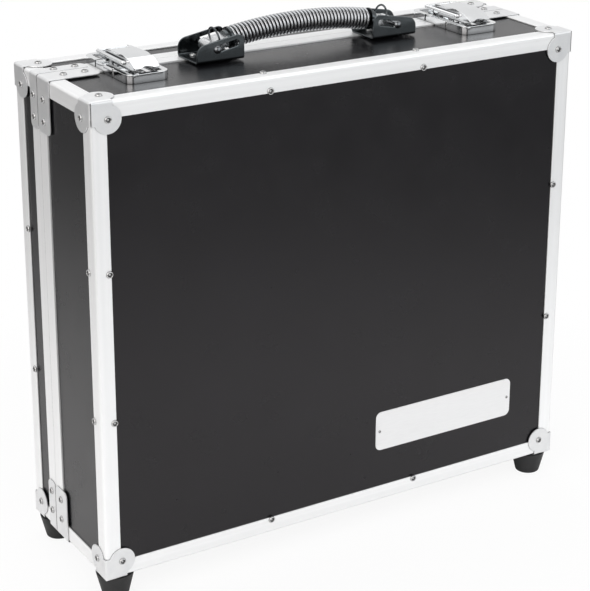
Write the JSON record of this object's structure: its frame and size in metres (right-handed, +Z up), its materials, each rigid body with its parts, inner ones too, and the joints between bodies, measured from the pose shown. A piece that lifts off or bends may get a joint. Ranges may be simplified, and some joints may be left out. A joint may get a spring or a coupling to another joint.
{
  "type": "guitar pedal case",
  "caption": "Upright guitar pedal case of black laminated panels in aluminium edging, with steel corners, toggle latches, a coil-wound carrying handle, a hinged lid and rubber feet.",
  "frame": {"origin": "on the ground, under the middle of the case's bounding box", "axes": "+X to the right as seen from the front, +Y towards the back (the lid), +Z up"},
  "size_m": [0.5054, 0.1604, 0.4963],
  "materials": {
    "laminate": "black laminate, semi-gloss with a fine texture, over plywood",
    "edging": "satin anodised",
    "zinc_plate": "zinc plated, satin",
    "fastener": "bright steel",
    "latch_chrome": "bright nickel plate",
    "bare_plate": "brushed, left bare",
    "foam": "charcoal soft foam",
    "foot_rubber": "matt black rubber",
    "bracket_steel": "black nickel, glossy",
    "coil_steel": "bright spring wire",
    "core_rubber": "black rubber",
    "lug_metal": "satin die casting"
  },
  "bodies": {
    "base": {"base_front_panel": "laminate", "base_top_panel": "laminate", "base_bottom_panel": "laminate", "base_left_panel": "laminate", "base_right_panel": "laminate", "front_edge_rails": "edging", "front_edge_posts": "edging", "base_corner_edging": "edging", "base_closing_profiles": "edging", "front_corner_plates": "zinc_plate", "base_braces": "zinc_plate", "base_rivets": "fastener", "front_feet": "foot_rubber", "front_foot_screws": "fastener", "base_hinge_leaves": "zinc_plate", "hinge_pins": "fastener", "name_plate": "bare_plate", "base_lining": "foam", "handle_bracket_left": "bracket_steel", "handle_bracket_right": "bracket_steel", "latch_tray_left": "latch_chrome", "latch_tray_right": "latch_chrome", "lever_pin_left": "fastener", "lever_pin_right": "fastener"},
    "lid": {"lid_back_panel": "laminate", "lid_top_panel": "laminate", "lid_bottom_panel": "laminate", "lid_left_panel": "laminate", "lid_right_panel": "laminate", "back_edge_rails": "edging", "back_edge_posts": "edging", "lid_corner_edging": "edging", "lid_closing_profiles": "edging", "back_corner_plates": "zinc_plate", "lid_braces": "zinc_plate", "lid_rivets": "fastener", "rear_feet": "foot_rubber", "rear_foot_screws": "fastener", "lid_hinge_leaves": "zinc_plate", "lid_lining": "foam", "latch_strike_left": "latch_chrome", "latch_strike_right": "latch_chrome"},
    "latch_lever_left": {"latch_lever_left": "latch_chrome"},
    "latch_lever_right": {"latch_lever_right": "latch_chrome"},
    "latch_bail_left": {"latch_bail_left": "latch_chrome"},
    "latch_bail_right": {"latch_bail_right": "latch_chrome"},
    "handle_slider": {"handle_pin_left": "lug_metal"},
    "handle_left": {"handle_lug_left": "lug_metal", "handle_clip_left": "bracket_steel", "handle_ferrule_left": "bracket_steel", "handle_core_left": "core_rubber", "handle_coil": "coil_steel"},
    "handle_right": {"handle_pin_right": "lug_metal", "handle_lug_right": "lug_metal", "handle_clip_right": "bracket_steel", "handle_ferrule_right": "bracket_steel", "handle_core_right": "core_rubber"}
  },
  "joints": [
    {"name": "lid_hinge", "type": "hinge", "parent": "base", "child": "lid", "pos_m": [0, 0.0275, 0.0203], "axis": [-1, 0, 0], "range_deg": [0, 110]},
    {"name": "latch_left", "type": "hinge", "parent": "base", "child": "latch_lever_left", "pos_m": [-0.175, 0.0215, 0.4769], "axis": [-1, 0, 0], "range_deg": [0, 100]},
    {"name": "latch_right", "type": "hinge", "parent": "base", "child": "latch_lever_right", "pos_m": [0.175, 0.0215, 0.4769], "axis": [-1, 0, 0], "range_deg": [0, 100]},
    {"name": "bail_left", "type": "hinge", "parent": "latch_lever_left", "child": "latch_bail_left", "pos_m": [-0.175, -0.0145, 0.4761], "axis": [-1, 0, 0], "range_deg": [-70.1, 0]},
    {"name": "bail_right", "type": "hinge", "parent": "latch_lever_right", "child": "latch_bail_right", "pos_m": [0.175, -0.0145, 0.4761], "axis": [-1, 0, 0], "range_deg": [-70.1, 0]},
    {"name": "handle_slide", "type": "slide", "parent": "base", "child": "handle_slider", "axis": [0.9816, 0, 0.1908], "range_m": [0, 0.0088]},
    {"name": "handle_lift", "type": "hinge", "parent": "handle_slider", "child": "handle_left", "pos_m": [-0.0955, 0.0067, 0.4753], "axis": [0, -1, 0], "range_deg": [0, 20]},
    {"name": "handle_bend", "type": "hinge", "parent": "handle_left", "child": "handle_right", "pos_m": [0, 0.0067, 0.4861], "axis": [0, 1, 0], "range_deg": [0, 40.2], "deforming": ["handle_coil"]}
  ],
  "couplings": [
    {"joint": "bail_left", "follows": "latch_left", "ratio": -0.7},
    {"joint": "bail_right", "follows": "latch_right", "ratio": -0.7},
    {"joint": "handle_slide", "follows": "handle_lift", "m_per_rad": 0.024924},
    {"joint": "handle_bend", "follows": "handle_lift", "ratio": 2}
  ]
}
